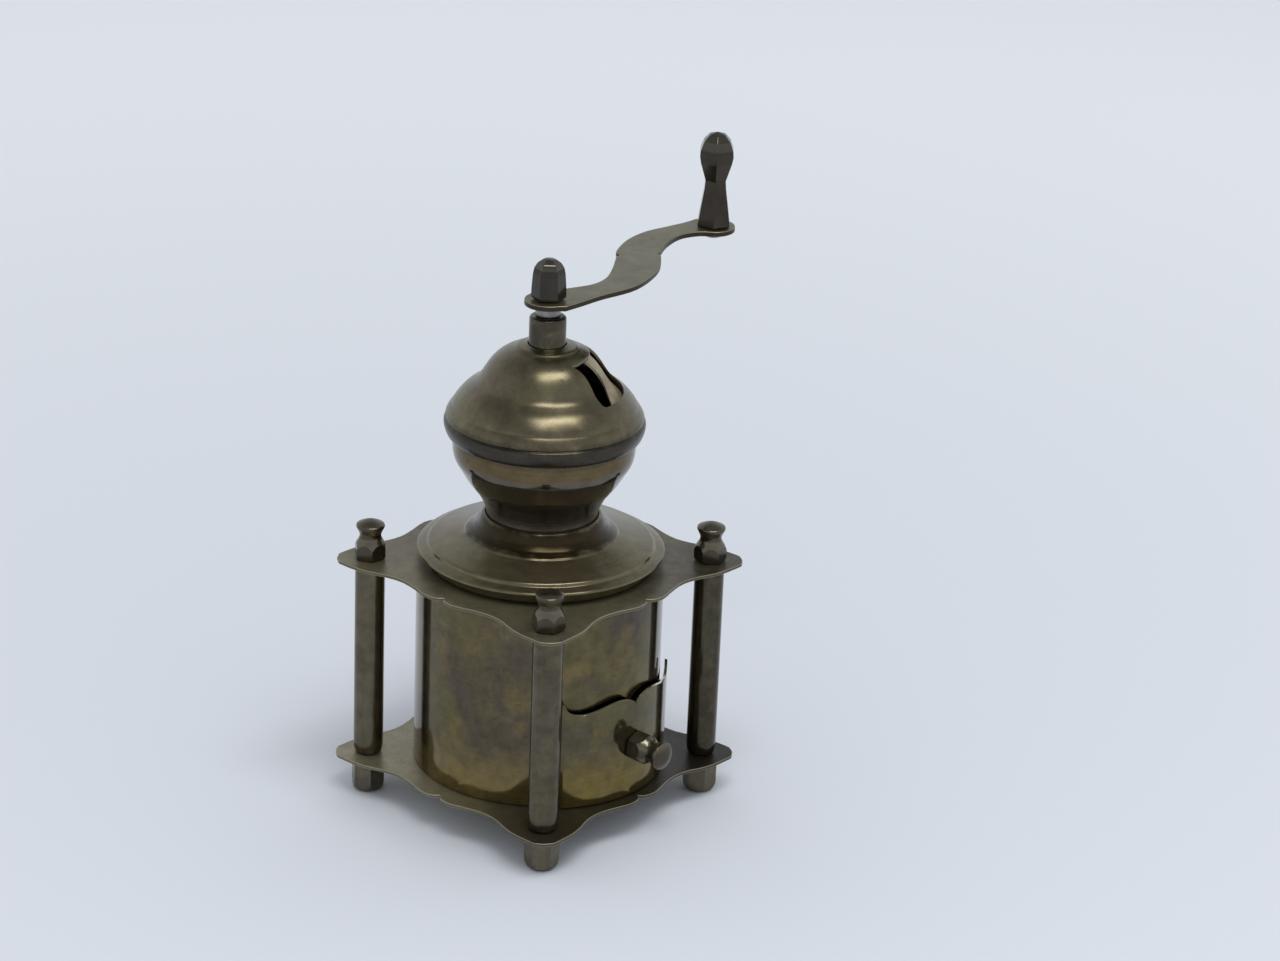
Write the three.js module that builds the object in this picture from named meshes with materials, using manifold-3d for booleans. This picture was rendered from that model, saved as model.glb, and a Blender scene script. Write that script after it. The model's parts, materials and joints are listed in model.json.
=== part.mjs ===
// Brass spice grinder: four-pillar stand, drum with a drawer, spun cover, hopper with a domed lid, crank.
// Millimetres, +Z up, the drawer faces -Y. Everything is laid out around the shaft axis with the feet on
// z = 0, and the whole group is moved at the end so that the origin is the middle of its bottom.
import * as THREE from "three";
import { mergeVertices } from "three/addons/utils/BufferGeometryUtils.js";
import Module from "manifold-3d";

const wasm = await Module();
wasm.setup();

// Stand
const gap = 0.3;
const footHeight = 11.5;
const sheet = 1.1;
const baseTop = footHeight + gap + sheet;
const topPlateUnder = 79.9;
const topPlateTop = topPlateUnder + sheet;
const pillarOffset = 38.2;
const pillarRadius = 4.75;
const footFlats = 9.6;
const finialFlats = 9.0;
const studRadius = 2;
const studHole = 2.4;
const studBottom = 5;
const studTop = 88;

// Drum and drawer
const drumRadius = 39.4;
const drumWall = 0.8;
const drawerPulledOut = 3;
const drawerHalfAngle = 38.4;
const drawerThick = 0.9;
const drawerClearance = 0.6;
const drawerKnobHeight = 30;
const drawerStudRadius = 1.6;
const drawerStudHole = 1.9;
const drawerNutFlats = 6.4;
const drawerNutThick = 2.2;
const drawerGrip = 2.5;
const trayHalfWidth = 22.8;
const trayTop = 42;
const trayBack = 29;
const trayWall = 0.8;

// Grinding parts
const shaftRadius = 2.9;
const ringTeeth = 16;
const coneTeeth = 12;
const bridgeTop = topPlateUnder - gap;
const bridgeThick = 2.5;
const bridgeHalfLength = 27;
const bridgeHalfWidth = 4.5;
const bridgeScrewX = 22;
const thrustNutFlats = 9;
const thrustNutThick = 3.6;
const shaftBottom = 71.5;

// Crank
const collarTop = 162.8;
const armUnder = 166.4;
const armThick = 1.8;
const armAngle = 5.6;
const knobAlong = 95.5;
const knobAcross = 3.4;
const knobHeight = 31.8;
const knobBoreRadius = 2.1;
const knobScrewRadius = 1.8;
const knobScrewLength = 12;
const threadRadius = 2.1;
const threadTop = 178;

const brass = { color: 0x8c8467, metalness: 0.9, roughness: 0.38 };
const darkBrass = { color: 0x6f6652, metalness: 0.9, roughness: 0.34 };
const steel = { color: 0xb9b8b4, metalness: 1, roughness: 0.3 };
const darkSteel = { color: 0x5a5856, metalness: 0.9, roughness: 0.5 };

const group = new THREE.Group();

function add(name, geometry, look) {
  const mesh = new THREE.Mesh(geometry, new THREE.MeshStandardMaterial(look));
  mesh.name = name;
  group.add(mesh);
}

const radians = THREE.MathUtils.degToRad;
const at = (r, z) => new THREE.Vector2(r, z);
const pairs = (list) => list.map(([r, z]) => at(r, z));

function solid(geometry) {
  const bare = geometry.clone();
  bare.deleteAttribute("normal");
  bare.deleteAttribute("uv");
  const merged = mergeVertices(bare, 1e-4);
  return new wasm.Manifold(
    new wasm.Mesh({
      numProp: 3,
      vertProperties: merged.attributes.position.array,
      triVerts: new Uint32Array(merged.index.array),
    }),
  );
}

function geometryOf(body) {
  const mesh = body.getMesh();
  const positions = new Float32Array(mesh.numVert * 3);
  for (let i = 0; i < mesh.numVert; i++) {
    const from = i * mesh.numProp;
    positions.set(mesh.vertProperties.subarray(from, from + 3), i * 3);
  }
  const geometry = new THREE.BufferGeometry();
  geometry.setAttribute("position", new THREE.BufferAttribute(positions, 3));
  geometry.setIndex(new THREE.BufferAttribute(new Uint32Array(mesh.triVerts), 1));
  return geometry;
}

const cut = (geometry, ...tools) =>
  geometryOf(tools.reduce((body, tool) => body.subtract(solid(tool)), solid(geometry)));
const join = (geometry, ...others) =>
  geometryOf(others.reduce((body, other) => body.add(solid(other)), solid(geometry)));

// Turned round +Z; the profile runs upwards on the outside and back down inside, or ends on the axis.
function turned(profile, segments = 40) {
  return new THREE.LatheGeometry(pairs(profile), segments).rotateX(Math.PI / 2);
}

const closed = (profile) => [...profile, profile[0]];

function rod(radius, z0, z1, segments = 20) {
  return turned([[0, z0], [radius, z0], [radius, z1], [0, z1]], segments);
}

// Extruded along +Z; the outline is made to run anticlockwise and its holes clockwise.
function prism(shape, z0, z1, segments = 10) {
  const { clockwise, anticlockwise } = turnedPoints(shape.extractPoints(segments));
  const flat = new THREE.Shape(anticlockwise);
  flat.holes = clockwise.map((hole) => new THREE.Path(hole));
  return new THREE.ExtrudeGeometry(flat, { depth: z1 - z0, bevelEnabled: false }).translate(0, 0, z0);
}

function turnedPoints({ shape: outline, holes }) {
  const { isClockWise } = THREE.ShapeUtils;
  return {
    anticlockwise: isClockWise(outline) ? outline.reverse() : outline,
    clockwise: holes.map((hole) => (isClockWise(hole) ? hole : hole.reverse())),
  };
}

function circle(x, y, radius) {
  const path = new THREE.Path();
  path.absarc(x, y, radius, 0, 2 * Math.PI, true);
  return path;
}

function hexagon(flats, turn = 0) {
  const shape = new THREE.Shape();
  for (let i = 0; i < 6; i++) {
    const angle = radians(60 * i + turn);
    const corner = flats / 2 / Math.cos(Math.PI / 6);
    const x = corner * Math.cos(angle);
    const y = corner * Math.sin(angle);
    if (i === 0) shape.moveTo(x, y);
    else shape.lineTo(x, y);
  }
  shape.closePath();
  return shape;
}

// A hexagonal bar trimmed by a turned shape, as a nut or a foot is made from bar stock.
function hexTurned(flats, turn, profile, segments = 12) {
  const heights = profile.map(([, z]) => z);
  const bar = prism(hexagon(flats, turn), Math.min(...heights) - 1, Math.max(...heights) + 1);
  return geometryOf(solid(bar).intersect(solid(turned(profile, segments))));
}

// Plates: half of one side, from its middle notch to the corner lobe, as distance along and distance out.
const sideHalf = [
  [0, 44.4],
  [1.3, 45.9],
  [4, 46.7],
  [7, 46.5],
  [12, 45],
  [17, 43.9],
  [21, 43.8],
  [25, 44.6],
  [29.5, 46.2],
  [34, 47.2],
];
const lobeRadius = 6.8;
const lobeCentre = 40.8;

function plateOutline() {
  const corner = [];
  for (const degrees of [10, 27, 45, 63, 80]) {
    const angle = radians(degrees);
    corner.push([lobeCentre + lobeRadius * Math.sin(angle), lobeCentre + lobeRadius * Math.cos(angle)]);
  }
  const quarter = [...sideHalf.slice(1), ...corner];
  const mirrored = sideHalf.slice(1).reverse().map(([along, out]) => [out, along]);
  const points = [];
  for (let side = 0; side < 4; side++) {
    const turn = radians(90 * side);
    for (const [along, out] of [sideHalf[0], ...quarter, ...mirrored]) {
      // the side starts on +Y and runs towards +X
      points.push(
        at(along * Math.cos(turn) + out * Math.sin(turn), -along * Math.sin(turn) + out * Math.cos(turn)),
      );
    }
  }
  return points;
}

function plate(z0, extraHoles) {
  const shape = new THREE.Shape(plateOutline());
  for (const x of [-pillarOffset, pillarOffset]) {
    for (const y of [-pillarOffset, pillarOffset]) shape.holes.push(circle(x, y, studHole));
  }
  shape.holes.push(...extraHoles);
  return prism(shape, z0, z0 + sheet);
}

add("base_plate", plate(footHeight + gap, []), brass);
const neckHole = 19;
const screwHole = 1.8;
add(
  "top_plate",
  plate(topPlateUnder, [
    circle(0, 0, neckHole),
    circle(-bridgeScrewX, 0, screwHole),
    circle(bridgeScrewX, 0, screwHole),
  ]),
  brass,
);

// Corner columns: six-sided foot, round pillar with threaded ends, six-sided finial nut
const foot = [
  [0, 0],
  [3.9, 0],
  [4.7, 0.5],
  [5.3, 1.6],
  [5.65, 3.6],
  [5.65, 10.8],
  [5.3, footHeight],
  [0, footHeight],
];
const pillar = [
  [0, baseTop + gap],
  [4.1, baseTop + gap],
  [4.55, 14.2],
  [pillarRadius, 16.2],
  [pillarRadius, 78],
  [4.4, topPlateUnder - gap],
  [0, topPlateUnder - gap],
];
// Heights from the seat of the finial
const finial = [
  [0, 0],
  [4.7, 0],
  [5.3, 0.9],
  [5.25, 3.2],
  [4.6, 4.9],
  [3.75, 6.3],
  [3.45, 7.3],
  [3.6, 8.4],
  [4.5, 10.2],
  [4.55, 10.9],
  [4.1, 11.3],
  [0, 13.1],
];
const corners = { front_left: [-1, -1], front_right: [1, -1], back_left: [-1, 1], back_right: [1, 1] };
const finialTurn = { front_left: -60, front_right: 12, back_left: -8, back_right: 35 };
const footTurn = { front_left: -48, front_right: -62, back_left: 54, back_right: 5 };

function finialBody(flats, turn) {
  const body = hexTurned(flats, turn, finial);
  return cut(body, rod(studHole, -1, studTop - topPlateTop, 12));
}

for (const [corner, [sx, sy]] of Object.entries(corners)) {
  const x = sx * pillarOffset;
  const y = sy * pillarOffset;
  const footBody = cut(
    hexTurned(footFlats, footTurn[corner], foot),
    rod(studHole, studBottom - gap, footHeight + 1, 12),
  );
  add("foot_" + corner, footBody.translate(x, y, 0), darkBrass);
  const pillarBody = join(turned(pillar, 24), rod(studRadius, studBottom, studTop - gap, 12));
  add("pillar_" + corner, pillarBody.translate(x, y, 0), darkBrass);
  const nut = finialBody(finialFlats, finialTurn[corner]);
  add("finial_" + corner, nut.translate(x, y, topPlateTop + gap), darkBrass);
}

// Drum and drawer front share the bracket-shaped edge: degrees from the middle and height.
const bracketEdge = [
  [0, 44],
  [2, 45.7],
  [5, 46.8],
  [9, 47.2],
  [13, 47.1],
  [18, 46.4],
  [23, 45.5],
  [28, 45],
  [32, 45.2],
  [35, 45.9],
  [37, 46.9],
  [drawerHalfAngle, 48.9],
];

// A curved sheet on the drum whose upper edge is the bracket edge, mirrored about -Y. With a clearance the
// edge is raised by it, and carried on past the tip by the same distance.
function bracketSheet(inner, outer, bottom, clearance) {
  const half = bracketEdge.map(([degrees, z]) => [degrees, z + clearance]);
  const [tipAngle, tipHeight] = half[half.length - 1];
  const pastTip = THREE.MathUtils.radToDeg(clearance / drumRadius);
  if (clearance > 0) half.push([tipAngle + pastTip, tipHeight + clearance]);
  const edge = [...half.slice(1).reverse().map(([degrees, z]) => [-degrees, z]), ...half];
  const positions = [];
  for (const [degrees, z] of edge) {
    const angle = radians(degrees - 90);
    for (const [r, h] of [[inner, bottom], [outer, bottom], [outer, z], [inner, z]]) {
      positions.push(r * Math.cos(angle), r * Math.sin(angle), h);
    }
  }
  const index = [];
  for (let s = 0; s + 1 < edge.length; s++) {
    for (let i = 0; i < 4; i++) {
      const a = s * 4 + i;
      const b = s * 4 + ((i + 1) % 4);
      index.push(a, b + 4, b, a, a + 4, b + 4);
    }
  }
  const last = (edge.length - 1) * 4;
  index.push(0, 1, 2, 0, 2, 3, last, last + 2, last + 1, last, last + 3, last + 2);
  const geometry = new THREE.BufferGeometry();
  geometry.setAttribute("position", new THREE.Float32BufferAttribute(positions, 3));
  geometry.setIndex(index);
  return geometry;
}

const drumInner = drumRadius - drumWall;
const drumTube = turned(
  closed([
    [drumInner, baseTop + gap],
    [drumRadius, baseTop + gap],
    [drumRadius, topPlateUnder - gap],
    [drumInner, topPlateUnder - gap],
  ]),
  72,
);
add("drum", cut(drumTube, bracketSheet(drumInner - 2, drumRadius + 2, baseTop - 1, drawerClearance)), brass);

const drawerFront = bracketSheet(drumRadius - drawerThick, drumRadius, baseTop + 0.4, 0);
const knobBore = rod(drawerStudHole, 0, 60, 12)
  .rotateX(Math.PI / 2)
  .translate(0, 0, drawerKnobHeight);
add("drawer_front", cut(drawerFront, knobBore).translate(0, -drawerPulledOut, 0), brass);

function trayShape(inset) {
  const half = trayHalfWidth - inset;
  const front = drumRadius - drawerThick - gap - inset;
  const start = Math.asin(half / front);
  const shape = new THREE.Shape();
  shape.moveTo(-half, trayBack - inset);
  const steps = 10;
  for (let i = 0; i <= steps; i++) {
    const angle = -start + (2 * start * i) / steps;
    shape.lineTo(front * Math.sin(angle), -front * Math.cos(angle));
  }
  shape.lineTo(half, trayBack - inset);
  shape.closePath();
  return shape;
}
const tray = cut(
  prism(trayShape(0), baseTop + gap, trayTop),
  prism(trayShape(trayWall), baseTop + gap + trayWall, trayTop + 1),
  knobBore,
);
add("drawer_tray", tray.translate(0, -drawerPulledOut, 0), darkBrass);

// The drawer knob is a finial laid on its side, with a threaded end that a nut holds inside the tray.
const knobSeat = drumRadius + drawerPulledOut + gap;
const drawerKnob = join(hexTurned(finialFlats, 0, finial), rod(drawerStudRadius, -5, 2, 12))
  .rotateX(Math.PI / 2)
  .translate(0, -knobSeat, drawerKnobHeight);
add("drawer_knob", drawerKnob, darkBrass);
const drawerNut = cut(prism(hexagon(drawerNutFlats), 0, drawerNutThick), rod(drawerStudHole, -1, 4, 12))
  .rotateX(Math.PI / 2)
  .translate(0, drawerGrip + drawerNutThick + gap - knobSeat, drawerKnobHeight);
add("drawer_knob_nut", drawerNut, darkBrass);

// Cover: spun disc that stands on the top plate on its skirt and carries the neck of the bowl
const cover = [
  [36, topPlateTop + gap],
  [36, 84.8],
  [39.1, 84.8],
  [39.4, 85.3],
  [39.1, 85.9],
  [37, 86.6],
  [36.3, 86.7],
  [35.9, 87.6],
  [35.3, 88],
  [24.6, 90.7],
  [22, 92.1],
  [20.3, 94],
  [19.4, 96.2],
  [18.7, 97.2],
  [17.95, 97.4],
  [17.95, 96.8],
  [19, 93.8],
  [20.8, 91.6],
  [24.2, 89.6],
  [34.8, 87],
  [35, 86.6],
  [35, topPlateTop + gap],
];
add("cover", turned(closed(cover)), brass);

// Hopper bowl, with the tube at its foot that holds the ring burr
const bowl = [
  [17.6, 80.4],
  [17.6, 97.6],
  [18.3, 100.2],
  [20.3, 104.3],
  [23.8, 108.5],
  [27.2, 114.2],
  [28.2, 115.9],
  [28.8, 118.5],
  [28.9, 122],
  [28.9, 128.2],
  [28.1, 128.2],
  [28, 118.8],
  [26.4, 114.4],
  [23.1, 109.1],
  [19.6, 104.9],
  [17.4, 100.2],
  [16.8, 97.6],
  [16.8, 80.4],
];
add("hopper_bowl", turned(closed(bowl)), brass);

// Domed lid over the bowl
const domeOuter = [
  [6.15, 153.9],
  [7.2, 153.5],
  [9.4, 153.1],
  [10.1, 152.4],
  [12.6, 151.5],
  [15, 150.1],
  [17, 148.2],
  [18.6, 146],
  [20, 143.6],
  [21.6, 141.2],
  [23.6, 139.2],
  [26, 137.3],
  [28.2, 135.3],
  [30, 132.8],
  [31.1, 130.3],
  [30.8, 129.4],
  [31.5, 128.9],
  [31.75, 128.2],
  [31.6, 126.6],
  [30.8, 124.4],
  [29.9, 123.6],
];
const domeInner = [
  [29.3, 124.1],
  [30.4, 126.6],
  [30.2, 129.6],
  [29.3, 132.5],
  [27.6, 134.8],
  [23.1, 138.6],
  [21, 140.8],
  [19.4, 143.3],
  [18, 145.6],
  [16.5, 147.7],
  [14.6, 149.5],
  [12.3, 150.9],
  [9.9, 151.9],
  [6.15, 152.4],
];
// Seen from above: the window, with a pointed ear at both upper corners, and the left edge of its door
const windowOutline = [
  [-0.2, -24.3],
  [-0.7, -20.2],
  [-1.1, -18.4],
  [-2, -16.3],
  [-4, -13.4],
  [-1.2, -13.9],
  [2.4, -13.2],
  [6, -12],
  [9, -9.9],
  [11.6, -6.8],
  [12.2, -4.3],
  [14.6, -5.6],
  [16.8, -6.8],
  [18.6, -8.8],
  [19.4, -11.4],
  [18.9, -14.2],
  [17.3, -16.8],
  [15.8, -18.4],
  [13.6, -20.4],
  [10.8, -22.1],
  [7.7, -23.4],
  [4.3, -24.3],
  [1.2, -24.7],
];
const doorOutline = [
  [4.6, -27],
  [5.2, -24.5],
  [6.1, -22],
  [7.4, -19.4],
  [8.2, -17],
  [7.7, -15.2],
  [6, -13.4],
  [4.2, -11.6],
  [1, -6],
  [5, 2.2],
  [28, 12.5],
  [36, 0],
  [26, -24],
];
const polygon = (points) => new THREE.Shape(pairs(points));
const windowTool = prism(polygon(windowOutline), 133, 156);
const dome = turned(closed([...domeOuter, ...domeInner].reverse()));
add("dome_lid", cut(dome, windowTool), brass);

// Door: a strip of the same shape inside the lid, with a ring that turns round the collar
const doorOuter = [
  [9.4, 150.6],
  [12, 150],
  [14, 148.7],
  [15.7, 147.1],
  [17.3, 144.9],
  [18.7, 142.7],
  [20.5, 140],
  [22.6, 137.9],
  [26, 135.2],
];
const doorInner = [
  [25.6, 134.6],
  [22.2, 137.3],
  [19.9, 139.6],
  [18.1, 142.3],
  [16.8, 144.4],
  [15.2, 146.6],
  [13.6, 148.1],
  [11.8, 149.3],
  [9.3, 149.9],
];
const doorRing = turned(closed([[6.2, 149.9], [9.6, 149.9], [9.6, 150.6], [6.2, 150.6]]), 32);
const doorBowl = turned(closed([...doorOuter, ...doorInner].reverse()));
const doorStrip = solid(doorBowl).intersect(solid(prism(polygon(doorOutline), 130, 155)));
add("dome_door", geometryOf(doorStrip.add(solid(doorRing))), brass);

// Collar: bearing of the shaft, with a shoulder under the ring of the door
const collar = [
  [3.3, 148.3],
  [9, 148.3],
  [9, 149.5],
  [5.8, 149.6],
  [5.8, 162.2],
  [5.3, collarTop],
  [3.3, collarTop],
];
add("dome_collar", turned(closed(collar), 32), brass);

// Burrs: a wall of a given radius at each height, folded into slanted teeth
function toothedWall(levels, teeth, depth, slant, samples) {
  return levels.map(([radius, z]) => {
    const ring = [];
    for (let i = 0; i < teeth * samples; i++) {
      const share = (i % samples) / samples;
      const angle = (2 * Math.PI * i) / (teeth * samples) + radians(slant * (z - levels[0][1]));
      const r = radius - depth * share;
      ring.push([r * Math.cos(angle), r * Math.sin(angle), z]);
    }
    return ring;
  });
}

// Skins a stack of rings of equal count, closing on itself or with a flat end at both sides.
function skinned(rings, loops) {
  const count = rings[0].length;
  const positions = rings.flat(2);
  const index = [];
  const bands = loops ? rings.length : rings.length - 1;
  for (let k = 0; k < bands; k++) {
    const next = (k + 1) % rings.length;
    for (let i = 0; i < count; i++) {
      const j = (i + 1) % count;
      index.push(k * count + i, k * count + j, next * count + j);
      index.push(k * count + i, next * count + j, next * count + i);
    }
  }
  if (!loops) {
    for (const [k, flip] of [[0, true], [rings.length - 1, false]]) {
      const middle = positions.length / 3;
      positions.push(0, 0, rings[k][0][2]);
      for (let i = 0; i < count; i++) {
        const a = k * count + i;
        const b = k * count + ((i + 1) % count);
        if (flip) index.push(middle, b, a);
        else index.push(middle, a, b);
      }
    }
  }
  const geometry = new THREE.BufferGeometry();
  geometry.setAttribute("position", new THREE.Float32BufferAttribute(positions, 3));
  geometry.setIndex(index);
  return geometry;
}

const ringLevels = [
  [14.9, 82],
  [14.7, 85],
  [14.9, 90],
  [15.4, 95],
];
const ringSamples = 4;
const ringWall = toothedWall(ringLevels, ringTeeth, 0.9, 1.6, ringSamples);
const ringOuter = toothedWall([[16.5, 82], [16.5, 95]], ringTeeth, 0, 1.6, ringSamples);
add("ring_burr", skinned([ringOuter[0], ringOuter[1], ...ringWall.slice().reverse()], true), darkSteel);

const coneLevels = [
  [13.3, 81.9],
  [13.3, 84],
  [12.2, 88],
  [10.4, 92],
  [8, 96],
  [6, 99],
];
const coneBody = skinned(toothedWall(coneLevels, coneTeeth, 1.1, -2.2, 4), false);
add("cone_burr", cut(coneBody, rod(shaftRadius + gap, 80, 101, 20)), darkSteel);

// Bridge under the top plate, its screws and the thrust nut below it
const bridgeShape = new THREE.Shape();
bridgeShape.absarc(bridgeHalfLength, 0, bridgeHalfWidth, -Math.PI / 2, Math.PI / 2, false);
bridgeShape.absarc(-bridgeHalfLength, 0, bridgeHalfWidth, Math.PI / 2, (3 * Math.PI) / 2, false);
bridgeShape.closePath();
bridgeShape.holes.push(circle(0, 0, shaftRadius + gap));
for (const x of [-bridgeScrewX, bridgeScrewX]) bridgeShape.holes.push(circle(x, 0, screwHole));
add("bridge", prism(bridgeShape, bridgeTop - bridgeThick, bridgeTop, 6), steel);

const screwHeadTop = bridgeTop - bridgeThick - gap;
const bridgeScrew = [
  [0, screwHeadTop - 1.7],
  [2.2, screwHeadTop - 1.7],
  [3, screwHeadTop - 1],
  [3, screwHeadTop],
  [1.5, screwHeadTop],
  [1.5, 83],
  [0, 83],
];
const slot = new THREE.BoxGeometry(7, 0.7, 1.6).translate(0, 0, screwHeadTop - 1.7);
for (const [name, x] of [["left", -bridgeScrewX], ["right", bridgeScrewX]]) {
  add("bridge_screw_" + name, cut(turned(bridgeScrew, 20), slot).translate(x, 0, 0), steel);
}

const thrustNut = prism(hexagon(thrustNutFlats), screwHeadTop - thrustNutThick, screwHeadTop);
add("thrust_nut", cut(thrustNut, rod(shaftRadius + gap, 70, 80, 20)), steel);

// Shaft, with a square where it drives the arm and a thinner thread for the acorn nut
const squareSide = 4.4;
const armMiddle = armUnder + armThick / 2;
const driveSquare = new THREE.BoxGeometry(squareSide, squareSide, armThick).rotateZ(radians(armAngle));
const shaft = join(
  rod(shaftRadius, shaftBottom, armUnder - gap, 24),
  driveSquare.translate(0, 0, armMiddle),
  rod(threadRadius, armUnder - 1, threadTop, 16),
);
add("shaft", shaft, steel);

const spacer = closed([
  [shaftRadius + gap, collarTop + gap],
  [4, collarTop + gap],
  [4, armUnder - gap],
  [shaftRadius + gap, armUnder - gap],
]);
add("spacer", turned(spacer, 32), steel);

// Arm: both edges of the curved leaf between the hub and the end disc, along the arm and across it
const leafBack = [
  [13, 1.4],
  [20.5, -1.7],
  [28, -1.4],
  [36, 2],
  [45.5, 7.3],
  [48.5, 9.2],
  [50.2, 9.2],
  [52.5, 12],
  [64, 16],
  [75, 16.7],
  [84, 14.6],
  [91, 12.8],
];
const leafFront = [
  [89.6, -0.7],
  [86.9, 3.2],
  [80, 5.8],
  [70, 4.2],
  [60.6, 0.4],
  [59.4, 0.2],
  [57.9, -1.9],
  [46, -9],
  [29, -12.9],
  [14, -10.3],
  [5, -9.3],
  [-2, -8.3],
];
const hubRadius = 7.5;
const endRadius = 7.9;
const endAcross = 4.3;
const armOutline = new THREE.Shape();
armOutline.moveTo(...leafBack[0]);
const spline = (list) => armOutline.splineThru(list.map(([x, y]) => at(x, y)));
spline(leafBack.slice(1, 6));
armOutline.lineTo(...leafBack[6]);
spline(leafBack.slice(7));
armOutline.absarc(knobAlong, endAcross, endRadius, radians(95), radians(-130), true);
armOutline.lineTo(...leafFront[0]);
spline(leafFront.slice(1, 5));
armOutline.lineTo(...leafFront[5]);
spline(leafFront.slice(6));
armOutline.absarc(0, 0, hubRadius, radians(-115), radians(40), true);
armOutline.closePath();
const square = new THREE.Path();
const halfSquare = squareSide / 2 + 0.25;
square.moveTo(-halfSquare, -halfSquare);
square.lineTo(-halfSquare, halfSquare);
square.lineTo(halfSquare, halfSquare);
square.lineTo(halfSquare, -halfSquare);
square.closePath();
armOutline.holes.push(square, circle(knobAlong, knobAcross, knobScrewRadius + 0.5));
const arm = prism(armOutline, armUnder, armUnder + armThick, 5);
add("crank_arm", arm.rotateZ(radians(armAngle)), brass);

// Acorn nut: six-sided up into its rounded top; heights above its seat, radii at the corners
const acorn = [
  [0, 0],
  [5.2, 0],
  [5.55, 0.7],
  [5.4, 4],
  [5.1, 8],
  [4.7, 9.9],
  [3.7, 11.5],
  [2.1, 12.6],
  [0, 12.9],
];
const armTop = armUnder + armThick;
const acornBore = rod(threadRadius + gap, -1, threadTop + gap - armTop, 16);
const acornBody = cut(turned(acorn, 6).rotateZ(radians(-18)), acornBore);
add("acorn_nut", acornBody.translate(0, 0, armTop + gap), darkBrass);

// Handle knob: six-sided, a tapering grip with a bulb; heights above the arm, radii at the corners
const knob = [
  [0, 0],
  [5.7, 0],
  [6.1, 0.7],
  [5.4, 5],
  [4.7, 9],
  [4.1, 12.6],
  [3.85, 15.6],
  [5.85, 21.6],
  [6.35, 24],
  [6.15, 26],
  [5, 28.8],
  [2.9, 31],
  [0, knobHeight],
];
const toKnob = new THREE.Vector2(knobAlong, knobAcross).rotateAround(new THREE.Vector2(), radians(armAngle));
const gripBore = rod(knobBoreRadius, -1, knobScrewLength + 2 * gap, 12);
const knobBody = cut(turned(knob, 6).rotateZ(radians(10)), gripBore);
add("handle_knob", knobBody.translate(toKnob.x, toKnob.y, armTop + gap), darkBrass);

const knobScrew = [
  [0, armUnder - gap - 1.4],
  [2.6, armUnder - gap - 1.4],
  [3.3, armUnder - gap - 0.8],
  [3.3, armUnder - gap],
  [knobScrewRadius, armUnder - gap],
  [knobScrewRadius, armTop + knobScrewLength],
  [0, armTop + knobScrewLength],
];
add("knob_screw", turned(knobScrew, 20).translate(toKnob.x, toKnob.y, 0), steel);

const bounds = new THREE.Box3().setFromObject(group);
const middle = bounds.getCenter(new THREE.Vector3());
for (const mesh of group.children) mesh.geometry.translate(-middle.x, -middle.y, -bounds.min.z);

export default group;
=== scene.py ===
import json
import math

import bmesh
import bpy
from mathutils import Matrix, Vector, noise


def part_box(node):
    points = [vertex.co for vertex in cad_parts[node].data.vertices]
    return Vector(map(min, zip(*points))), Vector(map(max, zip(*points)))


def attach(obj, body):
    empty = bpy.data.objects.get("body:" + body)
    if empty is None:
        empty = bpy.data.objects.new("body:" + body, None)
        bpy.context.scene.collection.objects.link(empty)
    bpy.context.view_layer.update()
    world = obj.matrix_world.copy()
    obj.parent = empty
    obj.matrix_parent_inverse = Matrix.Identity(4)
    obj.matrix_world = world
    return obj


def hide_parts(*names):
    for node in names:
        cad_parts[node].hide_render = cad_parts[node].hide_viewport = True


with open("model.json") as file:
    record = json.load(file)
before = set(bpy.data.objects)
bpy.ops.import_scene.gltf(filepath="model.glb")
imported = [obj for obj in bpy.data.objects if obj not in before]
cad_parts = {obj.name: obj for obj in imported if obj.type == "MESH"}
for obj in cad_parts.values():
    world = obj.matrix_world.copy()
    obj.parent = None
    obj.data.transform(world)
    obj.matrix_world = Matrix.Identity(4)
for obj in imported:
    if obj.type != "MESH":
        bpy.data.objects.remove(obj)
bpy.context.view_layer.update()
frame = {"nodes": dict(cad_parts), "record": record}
cadNodes = frame["nodes"]
spacerLow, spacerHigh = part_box("spacer")
shaftAxis = Vector(((spacerLow.x + spacerHigh.x) / 2, (spacerLow.y + spacerHigh.y) / 2, 0))
print("frame loaded,", len(cadNodes), "nodes")

# Shader maths: a field is one output socket, and an expression on fields adds Math nodes.


class Field:
    def __init__(self, shader, socket):
        self.shader = shader
        self.socket = socket

    def maths(self, operation, first, second=0.0):
        return self.shader.node("ShaderNodeMath", {"operation": operation}, {0: first, 1: second})

    def __add__(self, other):
        return self.maths("ADD", self, other)

    def __sub__(self, other):
        return self.maths("SUBTRACT", self, other)

    def __rsub__(self, other):
        return self.maths("SUBTRACT", other, self)

    def __mul__(self, other):
        return self.maths("MULTIPLY", self, other)

    def __abs__(self):
        return self.maths("ABSOLUTE", self)

    __radd__ = __add__
    __rmul__ = __mul__


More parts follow.
